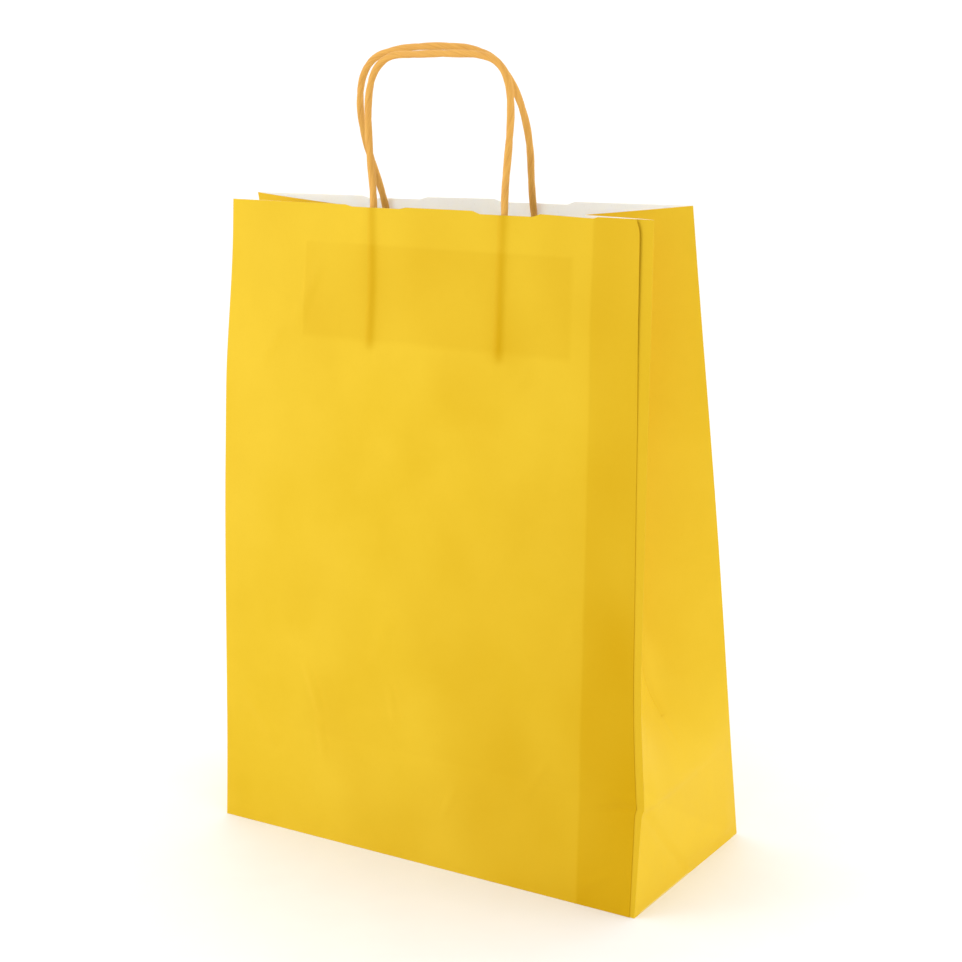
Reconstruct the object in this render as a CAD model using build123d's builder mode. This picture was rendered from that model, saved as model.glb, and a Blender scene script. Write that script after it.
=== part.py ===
from build123d import *

import os
from math import cos, hypot, radians, sin, sqrt

# Twisted-handle paper gift bag, standing open.
# Millimetres. Origin: centre of the base on the ground. X along the front panel, Y to the rear, Z up.

# Bag
width = 240
depth = 110
panel_height = 320
paper = 0.3
front_lean = 3.8  # the mouth is half closed: both panels lean inwards
rear_lean = 8.5
layer_gap = 0.05

# Top edge, cut in shallow steps around the handle cords
step_drop = 1.6
step_run = 3
step_width = 33

# Side seam on the front panel, at its right edge
seam_strip = 7
seam_overlap = 23

# Base
base_layers = 3
flap_reach = 88
tuck_reach = 42
fold_gap = 0.5

# Side gussets
half_gusset = depth / 2
foot_top = 80
foot_fold_rise = 35
foot_clearance = {"front": 2.2, "rear": 3.4}
crease_clearance = 4.6
hinge_inset = 1.2
gusset_heights = (foot_top + 2, 120, 165, 215, 265, panel_height - 1)
foot_heights = (14, 30, 45, 55, 62, 70, foot_top)

# Handles: twisted paper cord, held between two patches on each panel
cord_radius = 1.65
cord_bed = 65
pivot_rise = 3
joint_gap = 0.35
root_half_spacing = 38
patch_width = 152
patch_height = 46
patch_drop = 18
hump_side = 2.2
handles = {
    "front": {"centre": 4.5, "rise": 69, "half_width": 40, "corner": 18, "lean": 0},
    "rear": {"centre": -9, "rise": 78, "half_width": 47, "corner": 27, "lean": 10},
}

# Each side: its sign along Y, and its lean inwards
sides = {"front": (-1, front_lean), "rear": (1, rear_lean)}


def panel_plane(side, inset=0.0):
    """The outer face of a panel: X along it, Y up it, moved inwards by inset. Its normal points forwards."""
    sign, lean = sides[side]
    angle = radians(lean)
    inward = Vector(0, -sign * cos(angle), -sin(angle))
    origin = Vector(0, sign * depth / 2, 0) + inward * inset
    up = Vector(0, -sign * sin(angle), cos(angle))
    return Plane(origin=origin, x_dir=(1, 0, 0), z_dir=Vector(1, 0, 0).cross(up))


def inwards(side, amount):
    """An extrusion amount that goes into the bag from a panel_plane."""
    return -amount if side == "front" else amount


def panel_outline(side, left, right):
    """A panel's outline in its own plane, with its top edge stepped down around both handle roots."""
    centre = handles[side]["centre"]
    bottom = base_layers * paper + fold_gap
    points = [(left, bottom), (left, panel_height)]
    for root in (centre - root_half_spacing, centre + root_half_spacing):
        start = root - step_width / 2
        end = root + step_width / 2
        low = panel_height - step_drop
        points += [(start, panel_height), (start + step_run, low)]
        points += [(end - step_run, low), (end, panel_height)]
    return points + [(right, panel_height), (right, bottom)]


def panel_edge(side, hand, height):
    """The gusset's fold line at a panel's vertical edge; hand is 1 on the right and -1 on the left."""
    plane = panel_plane(side, hinge_inset)
    return plane.from_local_coords(Vector(hand * (width / 2 - 0.4), height, 0))


def smooth_step(value):
    share = min(max(value, 0), 1)
    return share * share * (3 - 2 * share)


def gusset_centre(hand, height):
    """The gusset's centre crease, which folds inwards above the triangle at its foot."""
    front = panel_edge("front", hand, height)
    rear = panel_edge("rear", hand, height)
    half_span = (rear.Y - front.Y) / 2
    fold = sqrt(half_gusset**2 - half_span**2)
    fold *= smooth_step((height - half_gusset) / foot_fold_rise)
    return Vector(hand * (width / 2 - 0.4 - fold), (front.Y + rear.Y) / 2, (front.Z + rear.Z) / 2)


def between(start, end, from_start, from_end):
    """The two points that lie on a line at the given distances from its ends."""
    along = (end - start).normalized()
    return start + along * from_start, end - along * from_end


def add_facets(hand, rows, thickness_side):
    """Adds flat triangular facets of paper between rows of two points, joined edge to edge."""
    thickness = Vector(hand, thickness_side, 0).normalized() * paper
    for (low_a, low_b), (high_a, high_b) in zip(rows, rows[1:]):
        for corners in ((low_a, low_b, high_a), (low_b, high_b, high_a)):
            facet = Face(Wire.make_polygon(corners))
            extrude(facet, amount=paper, dir=thickness)


def name_and_write(part, label):
    part.label = label
    export_step(part, f"parts/{label}.step")
    print(label, round(part.volume, 1))


os.makedirs("parts", exist_ok=True)

# Front panel: its outer ply stops short of the right-hand fold, where the seam shows
with BuildPart() as front_panel:
    with BuildSketch(panel_plane("front")):
        with BuildLine():
            Polyline(*panel_outline("front", fold_gap - width / 2, width / 2 - seam_strip), close=True)
        make_face()
    extrude(amount=inwards("front", paper))
name_and_write(front_panel.part, "front_panel")

# Seam flap: the right gusset's edge, folded behind the front panel and glued
with BuildPart() as seam_flap:
    with BuildSketch(panel_plane("front", paper + layer_gap)):
        flap_left = width / 2 - seam_strip - seam_overlap
        flap_bottom = base_layers * paper + fold_gap
        with BuildLine():
            Polyline(
                (flap_left, flap_bottom),
                (width / 2 - fold_gap, flap_bottom),
                (width / 2 - fold_gap, panel_height),
                (flap_left, panel_height),
                close=True,
            )
        make_face()
    extrude(amount=inwards("front", paper))
name_and_write(seam_flap.part, "seam_flap")

# Rear panel
with BuildPart() as rear_panel:
    with BuildSketch(panel_plane("rear")):
        with BuildLine():
            Polyline(*panel_outline("rear", fold_gap - width / 2, width / 2 - fold_gap), close=True)
        make_face()
    extrude(amount=inwards("rear", paper))
name_and_write(rear_panel.part, "rear_panel")

# Base: two long flaps with their corners cut at 45 degrees, pasted over two side tucks
flap_half = width / 2 - fold_gap
flap_start = depth / 2 - fold_gap
for layer, (side, sign) in enumerate((("rear", 1), ("front", -1))):
    with BuildPart() as base_flap:
        with BuildSketch(Plane.XY.offset(layer * paper)):
            far = flap_start - flap_reach
            cut = flap_reach - half_gusset
            with BuildLine():
                Polyline(
                    (-flap_half, sign * flap_start),
                    (flap_half, sign * flap_start),
                    (flap_half, sign * (far + cut)),
                    (flap_half - cut, sign * far),
                    (cut - flap_half, sign * far),
                    (-flap_half, sign * (far + cut)),
                    close=True,
                )
            make_face()
        extrude(amount=paper)
    name_and_write(base_flap.part, f"base_{side}_flap")

for hand, name in ((1, "right"), (-1, "left")):
    with BuildPart() as tuck:
        with BuildSketch(Plane.XY.offset(2 * paper)):
            with BuildLine():
                Polyline(
                    (hand * flap_half, -flap_start),
                    (hand * flap_half, flap_start),
                    (hand * (flap_half - tuck_reach), flap_start - tuck_reach),
                    (hand * (flap_half - tuck_reach), tuck_reach - flap_start),
                    close=True,
                )
            make_face()
        extrude(amount=paper)
    name_and_write(tuck.part, f"base_{name}_tuck")

# Gussets: each is a foot that stays with the base, and above it two halves that fold at the centre crease
for hand, name in ((1, "right"), (-1, "left")):
    for side, (sign, lean) in sides.items():
        with BuildPart() as foot:
            foot_base = base_layers * paper + fold_gap
            corner = Vector(panel_edge(side, hand, 0).X, panel_edge(side, hand, 0).Y, foot_base)
            middle = Vector(corner.X, 0, foot_base)
            rows = [between(middle, corner, 0.2, foot_clearance[side])]
            for height in foot_heights:
                centre = gusset_centre(hand, height)
                rows.append(between(centre, panel_edge(side, hand, height), 0.2, foot_clearance[side]))
            add_facets(hand, rows, 0)
        name_and_write(foot.part, f"{name}_{side}_gusset_foot")

        with BuildPart() as gusset_half:
            rows = []
            for height in gusset_heights:
                edge = panel_edge(side, hand, height)
                rows.append(between(edge, gusset_centre(hand, height), 0.2, crease_clearance))
            add_facets(hand, rows, -sign)
        name_and_write(gusset_half.part, f"{name}_{side}_gusset_half")

# Handle patches: a flat strip on the panel, and a second one pasted over it and over the cord ends
cord_depth = paper + layer_gap + paper + layer_gap + cord_radius
for side, handle in handles.items():
    patch_left = handle["centre"] - patch_width / 2
    patch_right = handle["centre"] + patch_width / 2
    patch_low = panel_height - patch_drop - patch_height
    with BuildPart() as outer_patch:
        with BuildSketch(panel_plane(side, paper + layer_gap)):
            with Locations((handle["centre"], patch_low + patch_height / 2)):
                Rectangle(patch_width, patch_height)
        extrude(amount=inwards(side, paper))
    name_and_write(outer_patch.part, f"{side}_outer_patch")

    with BuildPart() as inner_patch:
        flat = paper + layer_gap + paper + layer_gap
        crest = flat + 2 * cord_radius + layer_gap
        near = [(patch_left, flat)]
        for root in (handle["centre"] - root_half_spacing, handle["centre"] + root_half_spacing):
            near += [(root - cord_radius - hump_side, flat), (root - cord_radius, crest)]
            near += [(root + cord_radius, crest), (root + cord_radius + hump_side, flat)]
        near.append((patch_right, flat))
        far = [(x, inset + paper) for x, inset in reversed(near)]
        patch_base = panel_plane(side).from_local_coords(Vector(0, patch_low, 0))
        panel = panel_plane(side)
        section = Plane(origin=patch_base, x_dir=(1, 0, 0), z_dir=panel.y_dir)
        facing = 1 if side == "front" else -1
        with BuildSketch(section):
            with BuildLine():
                Polyline(*[(x, facing * inset) for x, inset in near + far], close=True)
            make_face()
        extrude(amount=patch_height)
    name_and_write(inner_patch.part, f"{side}_inner_patch")

    # Embedded cord ends, one under each hump of the patch
    for hand, name in ((-1, "left"), (1, "right")):
        bed_top = panel_height + pivot_rise - cord_radius - joint_gap
        root = handle["centre"] + hand * root_half_spacing
        start = panel_plane(side, cord_depth).from_local_coords(Vector(root, panel_height - cord_bed, 0))
        with BuildPart() as cord_end:
            with BuildSketch(Plane(origin=start, x_dir=(1, 0, 0), z_dir=panel_plane(side).y_dir)):
                Circle(cord_radius)
            extrude(amount=bed_top - (panel_height - cord_bed))
        name_and_write(cord_end.part, f"{side}_handle_{name}_end")

    # Handle loop, in its own leaning plane through the two roots
    sign, lean = sides[side]
    pivot = panel_plane(side, cord_depth).from_local_coords(
        Vector(handle["centre"], panel_height + pivot_rise, 0)
    )
    angle = radians(handle["lean"])
    up = Vector(0, -sign * sin(angle), cos(angle))
    loop_plane = Plane(origin=pivot, x_dir=(1, 0, 0), z_dir=Vector(1, 0, 0).cross(up))
    with BuildPart() as loop:
        with BuildLine(loop_plane) as route:
            FilletPolyline(
                (-root_half_spacing, 0),
                (-handle["half_width"], handle["rise"]),
                (handle["half_width"], handle["rise"]),
                (root_half_spacing, 0),
                radius=handle["corner"],
            )
        with BuildSketch(Plane(origin=route.wire() @ 0, z_dir=route.wire() % 0)):
            Circle(cord_radius)
        sweep(path=route.wire())
        with Locations(route.wire() @ 0, route.wire() @ 1):
            Sphere(cord_radius)
    name_and_write(loop.part, f"{side}_handle_loop")
    length = route.wire().length
    print(side, "loop length", round(length, 1), "pivot", pivot)
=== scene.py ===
"""A yellow paper gift bag with twisted cord handles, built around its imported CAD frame. Metres, Z up."""

import math

import bpy
import numpy as np
from mathutils import Matrix, Vector


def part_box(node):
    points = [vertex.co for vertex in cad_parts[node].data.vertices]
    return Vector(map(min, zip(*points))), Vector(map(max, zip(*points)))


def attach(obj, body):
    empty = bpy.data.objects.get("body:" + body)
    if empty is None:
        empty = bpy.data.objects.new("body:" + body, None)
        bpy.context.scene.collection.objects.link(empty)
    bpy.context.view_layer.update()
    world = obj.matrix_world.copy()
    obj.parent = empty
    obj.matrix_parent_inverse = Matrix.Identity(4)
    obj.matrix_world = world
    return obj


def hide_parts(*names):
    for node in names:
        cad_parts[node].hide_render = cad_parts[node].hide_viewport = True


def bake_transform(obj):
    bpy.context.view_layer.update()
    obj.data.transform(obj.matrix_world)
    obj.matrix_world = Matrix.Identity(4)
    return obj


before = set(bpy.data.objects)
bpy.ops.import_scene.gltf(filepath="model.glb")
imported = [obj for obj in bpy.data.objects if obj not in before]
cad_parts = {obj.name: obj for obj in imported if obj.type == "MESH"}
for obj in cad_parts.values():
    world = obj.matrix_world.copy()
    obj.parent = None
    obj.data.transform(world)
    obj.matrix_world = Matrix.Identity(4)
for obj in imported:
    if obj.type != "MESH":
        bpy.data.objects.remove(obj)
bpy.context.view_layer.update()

MM = 0.001
PAPER = 0.22 * MM

# The frame: the base's size and the panels' lean come from the CAD nodes
base_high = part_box("base_rear_flap")[1]
front_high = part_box("front_panel")[1]
rear_low, rear_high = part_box("rear_panel")
HALF_WIDTH = base_high.x + 0.4 * MM
HALF_DEPTH = base_high.y + 0.4 * MM
PANEL = 320 * MM
FOOT_TOP = 80 * MM
FOOT_LAP = 16 * MM
HALF_GUSSET = HALF_DEPTH
CURL_START = 0.955
SIGN = {"front": -1, "rear": 1}
LEAN = {
    "front": math.atan((HALF_DEPTH + front_high.y) / front_high.z),
    "rear": math.atan((HALF_DEPTH - rear_low.y) / rear_high.z),
}

# How far each top corner of the soft bag stands from the flat CAD panel's corner (x, y, z), as measured
CORNER_SHIFT = {
    ("front", -1): (0.0, 6.3, -2.6),
    ("front", 1): (0.4, -6.4, 0.2),
    ("rear", 1): (-6.5, 4.3, 3.6),
    ("rear", -1): (-7.7, -5.1, 0.4),
}

# Panel details, as x across the sheet from its middle and distance below the top edge
STEP_RUN = 4.0 * MM
STEPS = {
    "front": ((-49, -12, 0.8), (25, 61.5, 1.35)),
    "rear": ((-56.5, -20, 1.15), (17, 60, 1.45)),
}
STRIP_BELOW, STRIP_ABOVE = 2.4 * MM, 6.5 * MM
SEAM_START = 89.5 * MM
TRIM_FROM = 96 * MM
PATCH = {"front": (-73, 79), "rear": (-79, 73)}
PATCH_TOP = 18 * MM
PATCH_HEIGHT = 46 * MM
CORD_RADIUS = 1.65 * MM
CORD_BED = 65 * MM

# The cords' free loops: across from the middle of the roots, and up from the mouth. These control points are
# given round the loops' measured outline.
ROOTS = {"front": (-32.6, 41.4), "rear": (-42.8, 38.6)}
LOOP_BASE = {"front": (4.5, -32.2, 316.9), "rear": (-8.3, 5.6, 311.4)}
LOOP_LEAN = {"front": 0, "rear": 12.5}
LOOPS = {
    "front": (
        (-37.2, 9), (-38.6, 22), (-39.2, 38), (-38.6, 53), (-34.5, 64.5), (-25, 70.8), (-12, 70.8), (0, 71.2),
        (12, 71.2), (24, 71), (34.5, 68.3), (40.2, 60), (41.4, 47), (39.9, 31), (38.2, 18), (37.2, 8),
    ),
    "rear": (
        (-41.8, 9), (-44.2, 22), (-47, 36), (-47.3, 51), (-43.8, 66), (-35.4, 76.2), (-22, 80), (-6, 81.2),
        (8, 81), (20, 79.8), (31, 75), (38.6, 63), (42.5, 48), (43.2, 33), (41.6, 18), (40.9, 7),
    ),
}
TWIST_PITCH = 34 * MM


# Shapes ---------------------------------------------------------------------------------------------

def smooth(value):
    share = np.clip(value, 0, 1)
    return share * share * (3 - 2 * share)


def hump(value, centre, width):
    """A smooth rise of 1 at the centre that fades over width."""
    return np.exp(-(((value - centre) / width) ** 2))


def bottom_corner(side, hand):
    return np.array((hand * HALF_WIDTH, SIGN[side] * HALF_DEPTH, 0.0))


def top_corner(side, hand):
    tilt = LEAN[side]
    y = SIGN[side] * (HALF_DEPTH - PANEL * math.sin(tilt))
    flat = np.array((hand * HALF_WIDTH, y, PANEL * math.cos(tilt)))
    return flat + np.array(CORNER_SHIFT[side, hand]) * MM


def edge(side, hand, height):
    """A panel's vertical fold at a share of its height. The folds bow a little, and one is kinked."""
    height = np.asarray(height, float)[..., None]
    point = bottom_corner(side, hand) * (1 - height) + top_corner(side, hand) * height
    z = height[..., 0] * PANEL
    bow = np.zeros(point.shape)
    if (side, hand) == ("front", -1):
        bow[..., 1] = -4.2 * MM * smooth(z / (190 * MM)) * (1 - smooth((z - 225 * MM) / (80 * MM)))
    elif (side, hand) == ("front", 1):
        below = 2.3 * np.clip((z - 2 * MM) / (48 * MM), 0, 1) + 1.2 * smooth((z - 49.5 * MM) / (4 * MM))
        above = 3.5 * np.clip((116 * MM - z) / (62 * MM), 0, 1) ** 1.5
        bow[..., 0] = np.minimum(below, above) * MM
    else:
        bow[..., 1] = SIGN[side] * 2.0 * MM * np.sin(math.pi * height[..., 0]) ** 2
    return point + bow


def outward(side):
    return np.array((0, SIGN[side] * math.cos(LEAN[side]), math.sin(LEAN[side])))


def ripples(x, z, seed):
    """The slow waves of hand-opened paper."""
    rng = np.random.default_rng(seed)
    total = np.zeros(np.broadcast(x, z).shape)
    for wave in range(7):
        length = rng.uniform(50, 150) * MM
        turn = rng.uniform(0, math.pi)
        phase = rng.uniform(0, 2 * math.pi)
        along = x * math.cos(turn) + z * math.sin(turn)
        total += np.sin(along * 2 * math.pi / length + phase) * length
    return total / (700 * MM)


def crease(x, z, start, end, width):
    """A soft ridge along a line between two points, each (x, z) in millimetres."""
    a, b = np.array(start) * MM, np.array(end) * MM
    along = (b - a) / np.linalg.norm(b - a)
    dx, dz = x - a[0], z - a[1]
    share = (dx * along[0] + dz * along[1]) / np.linalg.norm(b - a)
    away = dx * along[1] - dz * along[0]
    return np.exp(-((away / (width * MM)) ** 2)) * smooth(share * 3) * smooth((1 - share) * 3)


# The creases of each panel: start, end, width and height, in millimetres
CREASES = {
    "front": (
        ((-72, 96), (-58, 60), 2.0, 0.55),
        ((-62, 66), (-57, 40), 2.0, 0.45),
        ((-20, 92), (-14, 66), 2.0, 0.4),
        ((12, 22), (24, 48), 2.0, 0.4),
        ((58, 44), (76, 72), 2.0, 0.4),
        ((-80, 256), (-62, 296), 3.4, 0.6),
        ((-100, 236), (-84, 262), 3.0, 0.45),
        ((-30, 96), (-14, 128), 3.8, 0.45),
        ((-112, 74), (-84, 40), 3.6, 0.45),
        ((78, 120), (96, 150), 4, 0.4),
        ((-20, 200), (30, 214), 6, 0.35),
        ((46, 236), (62, 252), 2.6, 0.4),
        ((88, 6), (112, 22), 2.0, 0.4),
        ((92, 46), (130, 57), 2.0, -0.7),
        ((96, 60), (126, 52), 2.4, 0.35),
    ),
    "rear": (
        ((-88, 40), (-70, 84), 2.4, 0.42),
        ((40, 30), (66, 62), 2.6, 0.42),
        ((70, 230), (92, 262), 3.5, 0.5),
        ((-20, 120), (14, 150), 5, 0.4),
        ((-104, 190), (-86, 226), 3.0, 0.4),
    ),
}


def leg_places(side):
    return [root * MM for root in ROOTS[side]]


def panel_relief(side, x, z):
    """How far a panel's outer face stands out: waves, creases, the cord ends behind it and the patch."""
    depth = PANEL - z
    fade = smooth(np.minimum(z, HALF_WIDTH - np.abs(x)) / (22 * MM) + 0.12)
    relief = ripples(x, z, 3 if side == "front" else 8) * 1.7 * MM * fade
    for start, end, width, height in CREASES[side]:
        relief = relief + crease(x, z, start, end, width) * height * MM
    in_bed = 1 - smooth((depth - CORD_BED + 5 * MM) / (8 * MM))
    for leg in leg_places(side):
        relief = relief + 0.62 * MM * hump(x, leg, 2.1 * MM) * in_bed
        relief = relief + 0.3 * MM * hump(x, leg, 9 * MM) * (1 - smooth((depth - 75 * MM) / (40 * MM)))
        tail = hump(x, leg + 1.5 * MM, 3 * MM) * smooth((depth - 58 * MM) / (8 * MM))
        relief = relief - 0.16 * MM * tail * (1 - smooth((depth - 70 * MM) / (22 * MM)))
    left, right = (value * MM for value in PATCH[side])
    rim = smooth((x - left) / MM + 0.5) * smooth((right - x) / MM + 0.5)
    rim = rim * smooth((depth - PATCH_TOP) / MM + 0.5)
    rim = rim * smooth((PATCH_TOP + PATCH_HEIGHT - depth) / MM + 0.5)
    relief = relief + 0.12 * MM * rim
    fold_back = hump(z, HALF_DEPTH, 2.5 * MM) * smooth((HALF_WIDTH - np.abs(x)) / (60 * MM) + 0.3)
    return relief - 0.22 * MM * fold_back


def top_drop(side, x):
    """How far the die-cut top edge is stepped down at x."""
    drop = np.zeros(np.shape(x))
    for left, right, depth in STEPS[side]:
        rise = np.clip((x - left * MM) / STEP_RUN, 0, 1)
        fall = np.clip((right * MM - x) / STEP_RUN, 0, 1)
        drop = np.maximum(drop, depth * MM * np.minimum(rise, fall))
    if side == "front":
        sag = np.clip((x - 62 * MM) / (26 * MM), 0, 1) - np.clip((x - SEAM_START) / (2 * MM), 0, 1)
        drop = drop + 0.7 * MM * sag
    return drop


def strip_width(z):
    """How much of the seam flap the front panel's outer ply leaves bare beside the right fold."""
    return STRIP_BELOW + (STRIP_ABOVE - STRIP_BELOW) * z / PANEL


def straight_edge(side, hand, height):
    """A panel's vertical fold without its bow, at a share of its height with a last axis of 1."""
    return bottom_corner(side, hand) * (1 - height) + top_corner(side, hand) * height


def panel_point(side, x, z, lift=0.0):
    """A point of a panel's outer face: x across at the base, z up the sheet, lift outwards."""
    share = (x + HALF_WIDTH) / (2 * HALF_WIDTH)
    height = z / PANEL
    left, right = edge(side, -1, height), edge(side, 1, height)
    straight_left = straight_edge(side, -1, height[..., None])
    straight_right = straight_edge(side, 1, height[..., None])
    flat = straight_left * (1 - share[..., None]) + straight_right * share[..., None]
    near_left = (np.clip(1 - share, 0, 1) ** 2.2)[..., None]
    near_right = (np.clip(share, 0, 1) ** (26 if side == "front" else 2.2))[..., None]
    bowed = flat + (left - straight_left) * near_left + (right - straight_right) * near_right
    return bowed + outward(side) * np.asarray(panel_relief(side, x, z) + lift)[..., None]


def columns(side, left, right, spacing=1.4 * MM):
    """Places across a sheet, even but for the corners of the stepped edge, which get their own."""
    places = list(np.arange(left, right, spacing)) + [right]
    for start, end, _ in STEPS[side]:
        places += [start * MM, start * MM + STEP_RUN, end * MM - STEP_RUN, end * MM]
    for leg in leg_places(side):
        places += list(leg + np.arange(-4.5, 4.6, 0.75) * MM)
    places = np.array(sorted(place for place in places if left <= place <= right))
    keep = np.concatenate([[True], np.diff(places) > 0.12 * MM])
    keep[-1] = True
    return places[keep]


def rows_up(low, high, spacing=1.6 * MM):
    return np.linspace(low, high, max(2, int(round((high - low) / spacing)) + 1))


def stretched_rows(side, x, z):
    """Rows of z, stretched near the top so that the last one follows the stepped edge."""
    near_top = smooth((z - (PANEL - 16 * MM)) / (16 * MM))
    return z - top_drop(side, x) * near_top


def gusset_fold(hand, height):
    """The centre crease of a gusset, and the direction in which it folds."""
    front, rear = edge("front", hand, height), edge("rear", hand, height)
    across = rear - front
    span = np.linalg.norm(across, axis=-1)
    inward = np.stack([-across[..., 1], across[..., 0], np.zeros_like(span)], -1) * hand
    inward = inward / np.linalg.norm(inward, axis=-1)[..., None]
    depth = np.sqrt(np.maximum(HALF_GUSSET**2 - (span / 2) ** 2, 0))
    z = height * PANEL
    depth = depth * smooth((z - 50 * MM) / (46 * MM)) * (0.87 if hand > 0 else 0.97)
    middle = (front + rear) / 2
    middle[..., 1] -= 1.5 * MM * height
    middle[..., 2] -= (2.3 if hand > 0 else 3.4) * MM * smooth((height - 0.5) * 2)
    return middle, inward, depth


def past_crease(share, z, upper_half):
    """How far a gusset half reaches past the centre crease, and how far inwards its end is set, so that no
    gap opens as the gusset moves. The upper half also lies just behind the foot that it laps."""
    if not upper_half:
        return 1.8 * MM * smooth((z - 45 * MM) / (20 * MM)), 0
    reach = 3.4 * MM * (1 - smooth((z - 190 * MM) / (70 * MM)))
    reach = reach + 2.4 * MM * (1 - smooth((z - 100 * MM) / (40 * MM)))
    near_end = np.clip((share - CURL_START) / (1 - CURL_START), 0, 1)
    curled = 2 * MM * near_end**2 * (1 - smooth((z - 120 * MM) / (60 * MM)))
    tucked = 0.02 * MM * (z < FOOT_TOP - 0.5 * MM)
    return reach, tucked + curled


def foot_relief(y, z):
    """The soft ridge across a gusset's foot where the base's tuck ends behind it, and a fainter dent."""
    foot = 1 - smooth((z - 66 * MM) / (34 * MM))
    ridge_from = np.array((HALF_DEPTH, 0.0))
    ridge_to = np.array((-HALF_DEPTH + 3 * MM, 63 * MM))
    along = (ridge_to - ridge_from) / np.linalg.norm(ridge_to - ridge_from)
    away = (y - ridge_from[0]) * along[1] - (z - ridge_from[1]) * along[0]
    at_base = smooth(z / (9 * MM))
    ends = smooth((HALF_DEPTH - np.abs(y)) / (16 * MM))
    tent = 1 - np.sqrt((away / (34 * MM)) ** 2 + 0.002)
    lift = 2.4 * MM * np.clip(tent, 0, 1) * foot * at_base * ends
    second = (y + HALF_DEPTH) / HALF_DEPTH + z / (54 * MM) - 1
    return lift - 0.9 * MM * hump(second, 0, 0.06) * foot * at_base * ends


def gusset_point(side, hand, share, height, upper_half=False):
    """A point of a gusset half: share runs from the panel's edge to the centre crease."""
    middle, inward, depth = gusset_fold(hand, height)
    start = edge(side, hand, height)
    z = height * PANEL
    rounding = 0.05 + 0.55 * (1 - smooth((z - 62 * MM) / (90 * MM)))
    past = np.clip(share - (1 - rounding), 0, 1)
    sunk = (share - past**2 / (2 * rounding)) * depth
    reach, set_in = past_crease(share, z, upper_half)
    beyond = reach / HALF_DEPTH * smooth((share - 0.9) * 10)
    sunk = sunk + depth * beyond + set_in
    point = start + (middle - start) * (share + beyond)[..., None] + inward * sunk[..., None]
    across = middle - start + inward * depth[..., None]
    folded = -hand * across[..., 0] / np.linalg.norm(across[..., :2], axis=-1)
    hairpin = 2 * PAPER * np.clip(folded, 0, 1) * (1 - share)
    point = point - outward(side) * hairpin[..., None]
    y, z = point[..., 1], point[..., 2]
    upper = smooth((z - 60 * MM) / (60 * MM))
    bow = np.sin(math.pi * share)
    waves = (0.9 * MM * bow + 0.45 * MM * ripples(y * 1.3, z, 5 + hand) * bow) * upper
    lift = foot_relief(y, z) + waves
    normal = -inward * 0.6 + np.array((0, -SIGN[side], 0)) * 0.4 * upper[..., None]
    return point + normal * lift[..., None]


def gusset_shade(side, share, height):
    """Painted shade on a gusset, from 0 to 1: darker above the ridge across the foot, palest in the foot
    below it, with a faint darker patch in the foot's front corner.
    """
    z = height * PANEL
    y = SIGN[side] * HALF_DEPTH * (1 - share)
    ridge = 62 * MM * (HALF_DEPTH - y) / (2 * HALF_DEPTH)
    # Painted shade: above the foot's ridge the gusset is painted darker, standing in for facet shading.
    above = smooth((z - ridge) / (3 * MM) + 0.5)
    # Painted shade: a fainter darkening in the front corner of the foot.
    to_corner = (-HALF_DEPTH + 8 * MM - y) / HALF_DEPTH + (54 * MM - z) / (54 * MM)
    front_corner = smooth(to_corner * 12) * (y < 0)
    return 0.11 * above + 0.06 * front_corner * (1 - above)


# Mesh making ----------------------------------------------------------------------------------------

def new_object(name, vertices, faces, materials, indices):
    mesh = bpy.data.meshes.new(name)
    mesh.from_pydata([tuple(vertex) for vertex in vertices], [], faces)
    for material in materials:
        mesh.materials.append(material)
    mesh.polygons.foreach_set("material_index", np.array(indices, np.int32))
    mesh.polygons.foreach_set("use_smooth", np.ones(len(faces), bool))
    mesh.update()
    mesh.set_sharp_from_angle(angle=math.radians(38))
    obj = bpy.data.objects.new(name, mesh)
    bpy.context.scene.collection.objects.link(obj)
    return obj


def grid_faces(rows, cols, start, flip):
    faces = []
    for row in range(rows - 1):
        for col in range(cols - 1):
            a = start + row * cols + col
            face = (a, a + 1, a + cols + 1, a + cols)
            faces.append(face[::-1] if flip else face)
    return faces


def grid_normals(points):
    """Unit normals of a grid of points, by differences along its rows and columns."""
    normals = np.cross(np.gradient(points, axis=1), np.gradient(points, axis=0))
    return normals / np.maximum(np.linalg.norm(normals, axis=-1), 1e-12)[..., None]


def paper_sheet(name, points, facing, materials, cut="", shade=None, thickness=PAPER):
    """A closed thin sheet behind a grid of outer points. facing is a vector that its outer side looks
    along. cut names the sides with a raw cut edge, out of bottom, right, top and left."""
    rows, cols = points.shape[:2]
    normals = grid_normals(points)
    flip = float((normals * np.array(facing)).sum(-1).mean()) < 0
    if flip:
        normals = -normals
    inner = points - normals * thickness
    vertices = np.concatenate([points.reshape(-1, 3), inner.reshape(-1, 3)])
    offset = rows * cols
    outer_faces = grid_faces(rows, cols, 0, flip)
    inner_faces = grid_faces(rows, cols, offset, not flip)
    sides = {
        "bottom": list(range(cols)),
        "right": [row * cols + cols - 1 for row in range(rows)],
        "top": [(rows - 1) * cols + col for col in range(cols - 1, -1, -1)],
        "left": [row * cols for row in range(rows - 1, -1, -1)],
    }
    rim_faces, rim_indices = [], []
    for side, ring in sides.items():
        for here, there in zip(ring, ring[1:]):
            face = (here, here + offset, there + offset, there)
            rim_faces.append(face[::-1] if flip else face)
            rim_indices.append(2 if side in cut.split() else 0)
    faces = outer_faces + inner_faces + rim_faces
    indices = [0] * len(outer_faces) + [1] * len(inner_faces) + rim_indices
    obj = new_object(name, vertices, faces, materials, indices)
    values = np.zeros(2 * offset, np.float32)
    if shade is not None:
        values[:offset] = values[offset:] = np.asarray(shade, np.float32).ravel()
    attribute = obj.data.attributes.new("shade", "FLOAT", "POINT")
    attribute.data.foreach_set("value", values)
    return obj


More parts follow.
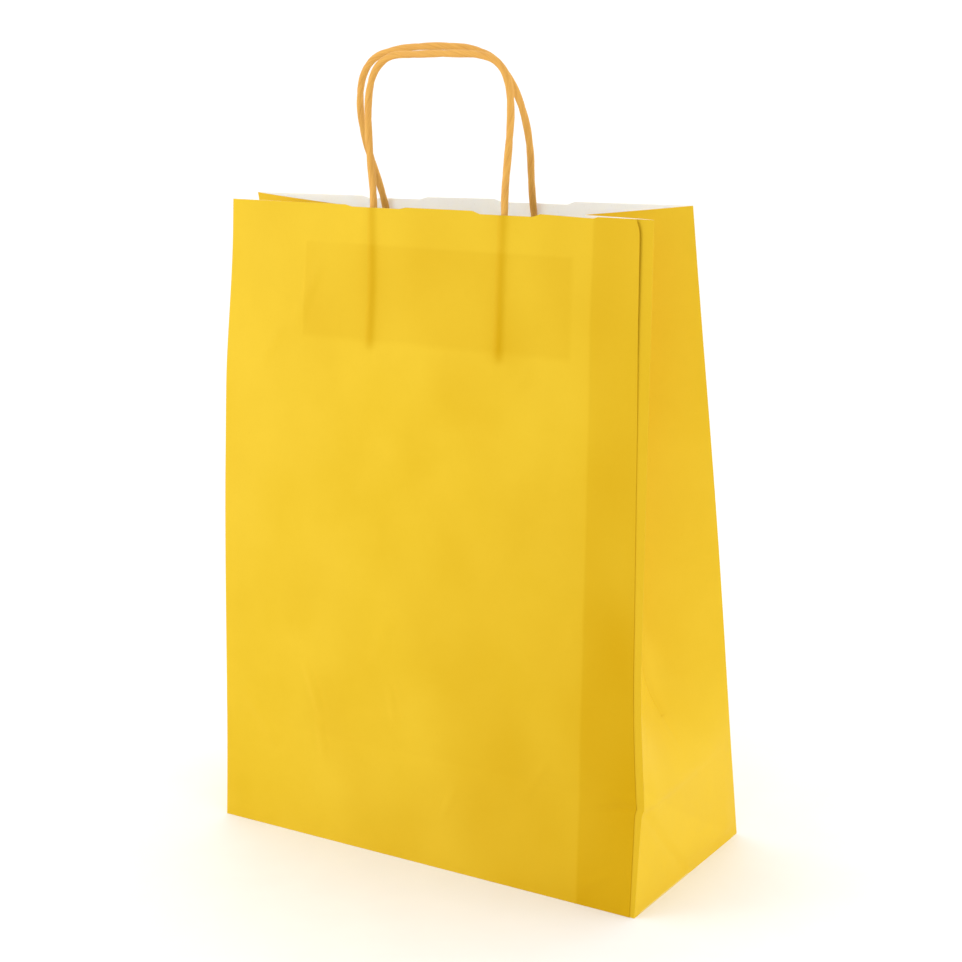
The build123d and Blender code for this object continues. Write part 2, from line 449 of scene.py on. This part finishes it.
def spline(points, step=0.7 * MM):
    """A smooth curve through the middles of the runs between points, as even steps along it."""
    points = np.asarray(points, float)
    middles = (points[:-1] + points[1:]) / 2
    dense = [points[0]]
    for index in range(1, len(points) - 1):
        for share in np.linspace(0, 1, 40)[1:]:
            a, b, c = middles[index - 1], points[index], middles[index]
            dense.append(a * (1 - share) ** 2 + 2 * b * share * (1 - share) + c * share**2)
    dense.append(points[-1])
    dense = np.array(dense)
    length = np.concatenate([[0], np.cumsum(np.linalg.norm(np.diff(dense, axis=0), axis=1))])
    places = np.linspace(0, length[-1], int(length[-1] / step) + 1)
    return np.stack([np.interp(places, length, dense[:, axis]) for axis in range(3)], -1), places


def twisted_cord(name, route, material, sides=28, phase=0.0):
    """A round cord of twisted paper: two rolled lobes wind round it, with a groove between them."""
    path, along = spline(route)
    tangents = np.gradient(path, axis=0)
    tangents /= np.linalg.norm(tangents, axis=1)[:, None]
    side = np.cross(tangents[0], (0, 1, 0))
    side /= np.linalg.norm(side)
    vertices, twist = [], []
    rng = np.random.default_rng(11)
    knots = np.arange(0, along[-1] + 12 * MM, 6 * MM)
    swell = np.interp(along, knots, rng.normal(0, 0.022, len(knots)))
    for index, (centre, tangent) in enumerate(zip(path, tangents)):
        side = side - tangent * (side @ tangent)
        side /= np.linalg.norm(side)
        other = np.cross(tangent, side)
        winding = 2 * math.pi * along[index] / TWIST_PITCH + phase
        for step in range(sides):
            angle = 2 * math.pi * step / sides
            turn = angle - winding
            groove = math.exp(-((math.sin(turn) / 0.24) ** 2))
            ridge = 0.03 * math.cos(2 * turn) + 0.012 * math.cos(5 * turn + 1)
            radius = CORD_RADIUS * (1.03 + swell[index] - 0.09 * groove - ridge)
            vertices.append(centre + (side * math.cos(angle) + other * math.sin(angle)) * radius)
            twist.append((math.cos(turn), math.sin(turn), along[index] / (30 * MM)))
    rings = len(path)
    faces = []
    for ring in range(rings - 1):
        for step in range(sides):
            a, b = ring * sides + step, ring * sides + (step + 1) % sides
            faces.append((a, b, b + sides, a + sides))
    faces.append(tuple(range(sides))[::-1])
    faces.append(tuple((rings - 1) * sides + step for step in range(sides)))
    obj = new_object(name, vertices, faces, [material], [0] * len(faces))
    attribute = obj.data.attributes.new("twist", "FLOAT_VECTOR", "POINT")
    attribute.data.foreach_set("vector", np.array(twist, np.float32).ravel())
    return obj


# Materials ------------------------------------------------------------------------------------------

class Surface:
    """A material and the few node calls that it is made with."""

    def __init__(self, name, roughness, specular=0.5):
        self.material = bpy.data.materials.new(name)
        self.material.use_nodes = True
        self.tree = self.material.node_tree
        self.shader = self.tree.nodes["Principled BSDF"]
        self.shader.inputs["Roughness"].default_value = roughness
        self.shader.inputs["Specular IOR Level"].default_value = specular

    def node(self, kind, **inputs):
        made = self.tree.nodes.new(kind)
        for name, value in inputs.items():
            self.set(made.inputs[name.replace("_", " ")], value)
        return made

    def set(self, socket, value):
        if isinstance(value, bpy.types.NodeSocket):
            self.tree.links.new(value, socket)
        else:
            socket.default_value = value

    def place(self, scale=(1, 1, 1)):
        coordinates = self.node("ShaderNodeTexCoord").outputs["Object"]
        return self.node("ShaderNodeMapping", Vector=coordinates, Scale=scale).outputs["Vector"]

    def noise(self, vector, scale, detail=4.0, roughness=0.55):
        made = self.node("ShaderNodeTexNoise", Vector=vector, Scale=scale)
        made.inputs["Detail"].default_value = detail
        made.inputs["Roughness"].default_value = roughness
        return made.outputs["Fac"]

    def attribute(self, name, output="Fac"):
        made = self.node("ShaderNodeAttribute")
        made.attribute_name = name
        return made.outputs[output]

    def span(self, value, low, high, to_low=0.0, to_high=1.0):
        made = self.node("ShaderNodeMapRange")
        for index, number in enumerate((value, low, high, to_low, to_high)):
            self.set(made.inputs[index], number)
        return made.outputs["Result"]

    def mix(self, share, first, second, blend="MIX"):
        made = self.tree.nodes.new("ShaderNodeMix")
        made.data_type = "RGBA"
        made.blend_type = blend
        for index, value in ((0, share), (6, first), (7, second)):
            self.set(made.inputs[index], value)
        return made.outputs[2]

    def maths(self, operation, first, second):
        made = self.tree.nodes.new("ShaderNodeMath")
        made.operation = operation
        self.set(made.inputs[0], first)
        self.set(made.inputs[1], second)
        return made.outputs[0]

    def bump(self, height, strength, distance, normal=None):
        made = self.node("ShaderNodeBump", Height=height, Strength=strength, Distance=distance)
        if normal is not None:
            self.set(made.inputs["Normal"], normal)
        return made.outputs["Normal"]

    def finish(self, colour, roughness=None, normal=None):
        self.set(self.shader.inputs["Base Color"], colour)
        if roughness is not None:
            self.set(self.shader.inputs["Roughness"], roughness)
        if normal is not None:
            self.set(self.shader.inputs["Normal"], normal)
        return self.material


def paper_grain(surface, strength=1.0):
    """Fibres, the faint vertical ribs of kraft paper and slow cockling, as one bump."""
    fibres = surface.noise(surface.place((1, 1, 0.35)), 2600, 3.0, 0.7)
    cockle = surface.noise(surface.place(), 95, 3.0, 0.5)
    ribs = surface.noise(surface.place((1, 1, 0.02)), 900, 2.0, 0.5)
    first = surface.bump(cockle, 0.22 * strength, 0.6 * MM)
    second = surface.bump(ribs, 0.10 * strength, 0.25 * MM, first)
    return surface.bump(fibres, 0.20 * strength, 0.12 * MM, second)


def printed_paper():
    """The outside: kraft paper printed solid yellow, with painted shade where the shade attribute says."""
    surface = Surface("yellow_kraft_outside", 0.52, 0.08)
    mottle = surface.span(surface.noise(surface.place(), 26, 5.0, 0.6), 0.3, 0.7)
    flecks = surface.span(surface.noise(surface.place((1, 1, 0.4)), 1500, 2.0, 0.6), 0.62, 0.78)
    cloud = surface.span(surface.noise(surface.place(), 7, 2.0), 0.35, 0.65)
    colour = surface.mix(mottle, (0.780, 0.510, 0.0180, 1), (0.820, 0.545, 0.027, 1))
    colour = surface.mix(surface.maths("MULTIPLY", cloud, 0.35), colour, (0.832, 0.562, 0.040, 1))
    colour = surface.mix(surface.maths("MULTIPLY", flecks, 0.25), colour, (0.70, 0.41, 0.012, 1))
    # Painted shade: the shade attribute mixes the print towards this deeper, darker yellow.
    colour = surface.mix(surface.attribute("shade"), colour, (0.64, 0.365, 0.0, 1))
    gloss = surface.span(mottle, 0.0, 1.0, 0.46, 0.58)
    return surface.finish(colour, gloss, paper_grain(surface))


def bare_paper(name, through):
    """The inside: unprinted white kraft paper. through is its subsurface weight."""
    surface = Surface(name, 0.75, 0.3)
    surface.shader.inputs["Subsurface Weight"].default_value = through
    surface.shader.inputs["Subsurface Radius"].default_value = (1.0, 0.88, 0.72)
    surface.shader.inputs["Subsurface Scale"].default_value = 0.9 * MM
    mottle = surface.span(surface.noise(surface.place(), 40, 5.0, 0.6), 0.3, 0.7)
    flecks = surface.span(surface.noise(surface.place((1, 1, 0.4)), 1300, 2.0, 0.6), 0.63, 0.80)
    colour = surface.mix(mottle, (0.96, 0.90, 0.81, 1), (0.98, 0.94, 0.87, 1))
    colour = surface.mix(surface.maths("MULTIPLY", flecks, 0.3), colour, (0.76, 0.64, 0.48, 1))
    return surface.finish(colour, None, paper_grain(surface, 0.8))


def cut_paper():
    """The raw cut edge, where the white core shows between the printed skins."""
    surface = Surface("cut_paper_edge", 0.8, 0.25)
    fibres = surface.span(surface.noise(surface.place(), 1800, 3.0), 0.35, 0.65)
    colour = surface.mix(fibres, (0.88, 0.76, 0.46, 1), (0.92, 0.86, 0.70, 1))
    return surface.finish(colour, None, surface.bump(fibres, 0.3, 0.1 * MM))


def patch_paper():
    """The handle patches: coarser unbleached strips with a visible grain."""
    surface = Surface("patch_kraft", 0.8, 0.25)
    grain = surface.span(surface.noise(surface.place((0.15, 1, 1)), 420, 4.0, 0.6), 0.3, 0.7)
    colour = surface.mix(grain, (0.80, 0.70, 0.53, 1), (0.88, 0.80, 0.66, 1))
    return surface.finish(colour, None, paper_grain(surface, 1.3))


def cord_paper():
    """Twisted paper cord: folds and streaks that wind round it, with painted shade darkening the groove."""
    surface = Surface("twisted_orange_cord", 0.62, 0.4)
    around = surface.attribute("twist", "Vector")
    streaks = surface.span(surface.noise(around, 3.2, 4.0, 0.6), 0.3, 0.7)
    stretched = surface.node("ShaderNodeMapping", Vector=around, Scale=(6, 6, 1.1)).outputs["Vector"]
    fine = surface.noise(stretched, 3.0)
    colour = surface.mix(streaks, (0.72, 0.335, 0.055, 1), (0.85, 0.455, 0.080, 1))
    colour = surface.mix(surface.span(fine, 0.45, 0.75, 0.0, 0.45), colour, (0.93, 0.56, 0.15, 1))
    split = surface.node("ShaderNodeSeparateXYZ", Vector=around).outputs["Y"]
    # Painted shade: the colour darkens towards the groove between the two lobes.
    groove = surface.span(surface.maths("ABSOLUTE", split, 0.0), 0.0, 0.30, 0.30, 0.0)
    colour = surface.mix(groove, colour, (0.55, 0.225, 0.030, 1))
    normal = surface.bump(fine, 0.5, 0.25 * MM)
    normal = surface.bump(surface.noise(surface.place(), 1900, 3.0), 0.25, 0.1 * MM, normal)
    return surface.finish(colour, surface.span(fine, 0.3, 0.7, 0.52, 0.72), normal)


def floor_paint():
    surface = Surface("pale_floor", 0.6, 0.2)
    speckle = surface.span(surface.noise(surface.place(), 30, 3.0), 0.3, 0.7)
    colour = surface.mix(speckle, (0.92, 0.92, 0.92, 1), (0.94, 0.94, 0.94, 1))
    return surface.finish(colour)


OUTSIDE, CUT = printed_paper(), cut_paper()
INSIDE, BASE_INSIDE = bare_paper("white_kraft_wall", 0.9), bare_paper("white_kraft_base", 0)
PATCH_PAPER, CORD = patch_paper(), cord_paper()
PRINTED = [OUTSIDE, INSIDE, CUT]
PRINTED_BASE = [OUTSIDE, BASE_INSIDE, CUT]
PLAIN = [PATCH_PAPER, PATCH_PAPER, CUT]


# Pieces ---------------------------------------------------------------------------------------------

def stand_for(obj, slot, *nodes):
    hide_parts(*nodes)


def panel_shade(side, x, z):
    """Painted shade, from 0 to 1: how much darker the printed paper reads. Less light comes through it low in
    the bag, and where patches, cord ends and the seam flap lie behind it; it is also darker towards the
    right-hand side as one faces the panel, and carries a faint random mottle."""
    depth = PANEL - z
    # Painted shade: darker towards the right-hand side as one faces the panel (across) and towards the bottom
    # (low).
    across = smooth((x * -SIGN[side] / HALF_WIDTH + 0.7) / 1.7)
    low = 1 - smooth((z - 30 * MM) / (240 * MM))
    cloud = 0.22 * ripples(x * 1.7, z * 1.2, 31)
    left, right = (value * MM for value in PATCH[side])
    inside = smooth((x - left) / (1.2 * MM) + 0.5) * smooth((right - x) / (1.2 * MM) + 0.5)
    inside = inside * smooth((depth - PATCH_TOP) / (1.2 * MM) + 0.5)
    inside = inside * smooth((PATCH_TOP + PATCH_HEIGHT - depth) / (1.2 * MM) + 0.5)
    # behind sums all the painted shade, with a faint random mottle (cloud) added.
    behind = 0.19 * inside + across * (0.14 + 0.46 * low) + cloud
    in_bed = 1 - smooth((depth - CORD_BED) / (6 * MM))
    for leg in leg_places(side):
        # Painted shade along each cord end in its bed.
        behind = behind + (0.46 * hump(x, leg, 2.6 * MM) + 0.18 * hump(x, leg, 9 * MM)) * in_bed
    if side == "front":
        # Painted shade in the band where the seam flap lies behind the front panel.
        behind = behind + 0.30 * smooth((x - SEAM_START) / (1.4 * MM) + 0.5)
    return np.clip(behind, 0, 1)


def blend_up_panel(obj):
    """Bakes a panel sheet's placement into its mesh."""
    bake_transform(obj)


def make_front_panel():
    """The outer ply. Its free right edge stops short of the fold, so that the seam flap shows."""
    x, z = np.meshgrid(columns("front", -HALF_WIDTH, HALF_WIDTH), rows_up(0, PANEL))
    z = stretched_rows("front", x, z)
    trim = strip_width(z) + 1.6 * MM * hump(z, PANEL, 3.2 * MM)
    squeezed = TRIM_FROM + (x - TRIM_FROM) * (1 - trim / (HALF_WIDTH - TRIM_FROM))
    x = np.where(x > TRIM_FROM, squeezed, x)
    loose = hump(x, HALF_WIDTH - trim, 7 * MM)
    lift = 0.24 * MM + (0.04 + 0.75 * smooth((z - 0.66 * PANEL) / (0.34 * PANEL))) * MM * loose
    points = panel_point("front", x, z, lift)
    shade = panel_shade("front", x, z)
    obj = paper_sheet("front_panel_sheet", points, outward("front"), PRINTED, "top", shade)
    stand_for(obj, "bag_paper", "front_panel")
    blend_up_panel(obj)


def make_seam_flap():
    x, z = np.meshgrid(np.linspace(SEAM_START, HALF_WIDTH, 24), rows_up(0, PANEL))
    z = stretched_rows("front", x, z)
    points = panel_point("front", x, z)
    # Painted shade: the bare strip of seam flap is painted 0.34 darker all over.
    shade = np.full(x.shape, 0.34)
    obj = paper_sheet("seam_flap_sheet", points, outward("front"), PRINTED, "top left", shade)
    stand_for(obj, "bag_paper", "seam_flap")
    blend_up_panel(obj)


def make_rear_panel():
    x, z = np.meshgrid(columns("rear", -HALF_WIDTH, HALF_WIDTH), rows_up(0, PANEL))
    z = stretched_rows("rear", x, z)
    points = panel_point("rear", x, z)
    shade = panel_shade("rear", x, z)
    obj = paper_sheet("rear_panel_sheet", points, outward("rear"), PRINTED, "top", shade)
    stand_for(obj, "bag_paper", "rear_panel")
    blend_up_panel(obj)


def make_gusset(side, hand):
    """One side of a gusset: a foot, and a half that lies over its top."""
    name = f"{'right' if hand > 0 else 'left'}_{side}_gusset"
    facing = np.array((hand, -0.4 * SIGN[side], 0))

    share, height = np.meshgrid(np.linspace(0, 1, 34), rows_up(0, FOOT_TOP) / PANEL)
    points = gusset_point(side, hand, share, height)
    shade = gusset_shade(side, share, height)
    foot = paper_sheet(f"{name}_foot_sheet", points, facing, PRINTED, shade=shade)
    stand_for(foot, "bag_paper", f"{name}_foot")
    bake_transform(foot)

    shares = np.append(np.linspace(0, CURL_START, 33), (0.97, 0.985, 1))
    share, height = np.meshgrid(shares, rows_up(FOOT_TOP - FOOT_LAP, PANEL) / PANEL)
    points = gusset_point(side, hand, share, height, True)
    shade = gusset_shade(side, share, height)
    half = paper_sheet(f"{name}_half_sheet", points, facing, PRINTED, "top", shade)
    stand_for(half, "bag_paper", f"{name}_half")
    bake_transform(half)


def base_sheet(name, outline, z):
    """A flat piece of the base between two edges given as functions of a share along X."""
    share, across = np.meshgrid(np.linspace(0, 1, 60), np.linspace(0, 1, 24))
    low, high = outline(share)
    x = low[0] + (high[0] - low[0]) * across
    y = low[1] + (high[1] - low[1]) * across
    wave = 0.04 * MM * ripples(x, y, 21)
    points = np.stack([x, y, np.full(x.shape, z) + wave], -1)
    return paper_sheet(name, points, (0, 0, -1), PRINTED_BASE, "right", thickness=0.18 * MM)


def make_base():
    """The pasted block base: two flaps with cut corners over two tucks."""
    reach = 88 * MM
    cut = reach - HALF_DEPTH
    for side, sign, layer in (("rear", 1, 0), ("front", -1, 1)):
        fold = sign * HALF_DEPTH
        far = fold - sign * reach

        def flap(share, fold=fold, far=far, sign=sign):
            x = HALF_WIDTH * (2 * share - 1)
            edge_in = np.clip((np.abs(x) - (HALF_WIDTH - cut)) / cut, 0, 1)
            return (x, np.full(x.shape, fold)), (x, far + sign * cut * edge_in)

        obj = base_sheet(f"base_{side}_flap_sheet", flap, (0.06 + 0.3 * layer) * MM)
        stand_for(obj, "bag_paper", f"base_{side}_flap")
        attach(obj, "base")
    tuck = 42 * MM
    for hand, name in ((1, "right"), (-1, "left")):
        def fold_in(share, hand=hand):
            x = hand * (HALF_WIDTH - tuck * share)
            half = HALF_DEPTH - tuck * share
            return (x, -half), (x, half)

        obj = base_sheet(f"base_{name}_tuck_sheet", fold_in, 0.66 * MM)
        stand_for(obj, "bag_paper", f"base_{name}_tuck")
        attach(obj, "base")


def patch_grid(side, lift_of):
    left, right = (value * MM for value in PATCH[side])
    places = list(np.linspace(left, right, 60))
    for leg in leg_places(side):
        places += list(leg + np.arange(-6, 6.1, 0.6) * MM)
    top = PANEL - PATCH_TOP
    x, z = np.meshgrid(np.array(sorted(places)), rows_up(top - PATCH_HEIGHT, top, 2.2 * MM))
    return panel_point(side, x, z, lift_of(x, z))


def make_patches(side):
    """Two strips pasted together over the cord ends. The inner one is humped over each cord."""
    flat = patch_grid(side, lambda x, z: -0.4 * MM + 0 * x)
    outer = paper_sheet(f"{side}_outer_patch_sheet", flat, outward(side), PLAIN, "bottom right top left")
    stand_for(outer, "patch_paper", f"{side}_outer_patch")
    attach(outer, f"{side}_panel")

    def over_cords(x, z):
        rise = np.zeros(x.shape)
        for leg in leg_places(side):
            away = np.abs(x - leg) / MM
            rise = np.maximum(rise, 1 - smooth((away - 0.9) / 2.6))
        return -(0.75 + 3.45 * rise) * MM

    humped = patch_grid(side, over_cords)
    inner = paper_sheet(f"{side}_inner_patch_sheet", humped, outward(side), PLAIN, "bottom right top left")
    stand_for(inner, "patch_paper", f"{side}_inner_patch")
    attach(inner, f"{side}_panel")


def make_handle(side):
    """One cord: up out of its bed, round the loop and back down, bending just above the mouth."""
    depth = 0.75 * MM + CORD_RADIUS
    legs = leg_places(side)
    bed = []
    for leg in legs:
        z = PANEL - np.array((CORD_BED, 0.62 * CORD_BED, 0.25 * CORD_BED, 6 * MM))
        bed.append(panel_point(side, np.full(4, leg), z, -depth))
    middle = np.array(LOOP_BASE[side]) * MM
    across = (bed[1][-1] - bed[0][-1]) / np.linalg.norm(bed[1][-1] - bed[0][-1])
    lean = math.radians(LOOP_LEAN[side])
    up = np.array((0, -SIGN[side] * math.sin(lean), math.cos(lean)))
    loop = [middle + across * x * MM + up * z * MM for x, z in LOOPS[side]]
    route = list(bed[0]) + loop + list(bed[1][::-1])
    obj = twisted_cord(f"{side}_twisted_handle", route, CORD, phase=0.8 if side == "rear" else 0)
    nodes = [f"{side}_handle_{part}" for part in ("loop", "left_end", "right_end")]
    stand_for(obj, "cord_paper", *nodes)
    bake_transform(obj)


make_front_panel()
make_seam_flap()
make_rear_panel()
make_base()
for panel_side in ("front", "rear"):
    for gusset_hand in (1, -1):
        make_gusset(panel_side, gusset_hand)
    make_patches(panel_side)
    make_handle(panel_side)


# Stage, lights and camera ---------------------------------------------------------------------------

def make_floor():
    half, z = 40.0, -0.03 * MM
    corners = [(-half, -half, z), (half, -half, z), (half, half, z), (-half, half, z)]
    mesh = bpy.data.meshes.new("floor")
    mesh.from_pydata(corners, [], [(0, 1, 2, 3)])
    mesh.materials.append(floor_paint())
    floor = bpy.data.objects.new("floor", mesh)
    bpy.context.scene.collection.objects.link(floor)


def make_light(name, place, target, size, power):
    light = bpy.data.lights.new(name, "AREA")
    light.shape = "DISK"
    light.size = size
    light.energy = power
    lamp = bpy.data.objects.new(name, light)
    lamp.visible_camera = False
    lamp.location = place
    lamp.rotation_euler = (Vector(target) - Vector(place)).to_track_quat("-Z", "Y").to_euler()
    bpy.context.scene.collection.objects.link(lamp)


def make_lights():
    make_light("key", (-0.52, -0.62, 0.44), (-0.05, 0, 0.2), 0.36, 1.25)
    make_light("side", (0.85, 0.22, 0.16), (0.12, 0, 0.1), 0.4, 1.15)
    world = bpy.data.worlds.new("studio")
    world.use_nodes = True
    nodes, links = world.node_tree.nodes, world.node_tree.links
    direction = nodes.new("ShaderNodeTexCoord").outputs["Generated"]
    facing = nodes.new("ShaderNodeVectorMath")
    facing.operation = "DOT_PRODUCT"
    facing.inputs[1].default_value = (-0.15, 0.25, 0.5)
    links.new(direction, facing.inputs[0])
    strength = nodes.new("ShaderNodeMapRange")
    for index, value in ((1, -0.5), (2, 0.5), (3, 0.34), (4, 1.34)):
        strength.inputs[index].default_value = value
    links.new(facing.outputs["Value"], strength.inputs[0])
    nodes["Background"].inputs["Color"].default_value = (1, 1, 1, 1)
    links.new(strength.outputs["Result"], nodes["Background"].inputs["Strength"])
    bpy.context.scene.world = world
    bpy.context.scene.view_settings.view_transform = "Standard"


def make_camera():
    """A long lens from the front right, a little above the mouth, with a slight roll."""
    azimuth, elevation, roll = (math.radians(value) for value in (32.43, 14.09, -0.91))
    distance = 0.998
    back = Vector((
        math.sin(azimuth) * math.cos(elevation),
        -math.cos(azimuth) * math.cos(elevation),
        math.sin(elevation),
    ))
    level = Vector((math.cos(azimuth), math.sin(azimuth), 0))
    rise = back.cross(level)
    right = level * math.cos(roll) + rise * math.sin(roll)
    up = rise * math.cos(roll) - level * math.sin(roll)
    target = Vector((0, 0, PANEL / 2)) + right * 4.1 * MM + up * 20.4 * MM
    camera = bpy.data.cameras.new("camera")
    camera.sensor_width = 36
    camera.lens = 75.6
    camera.clip_start = 0.05
    holder = bpy.data.objects.new("camera", camera)
    turn = Matrix((right, up, back)).transposed()
    holder.matrix_world = Matrix.Translation(target + back * distance) @ turn.to_4x4()
    bpy.context.scene.collection.objects.link(holder)
    bpy.context.scene.camera = holder


make_floor()
make_lights()
make_camera()
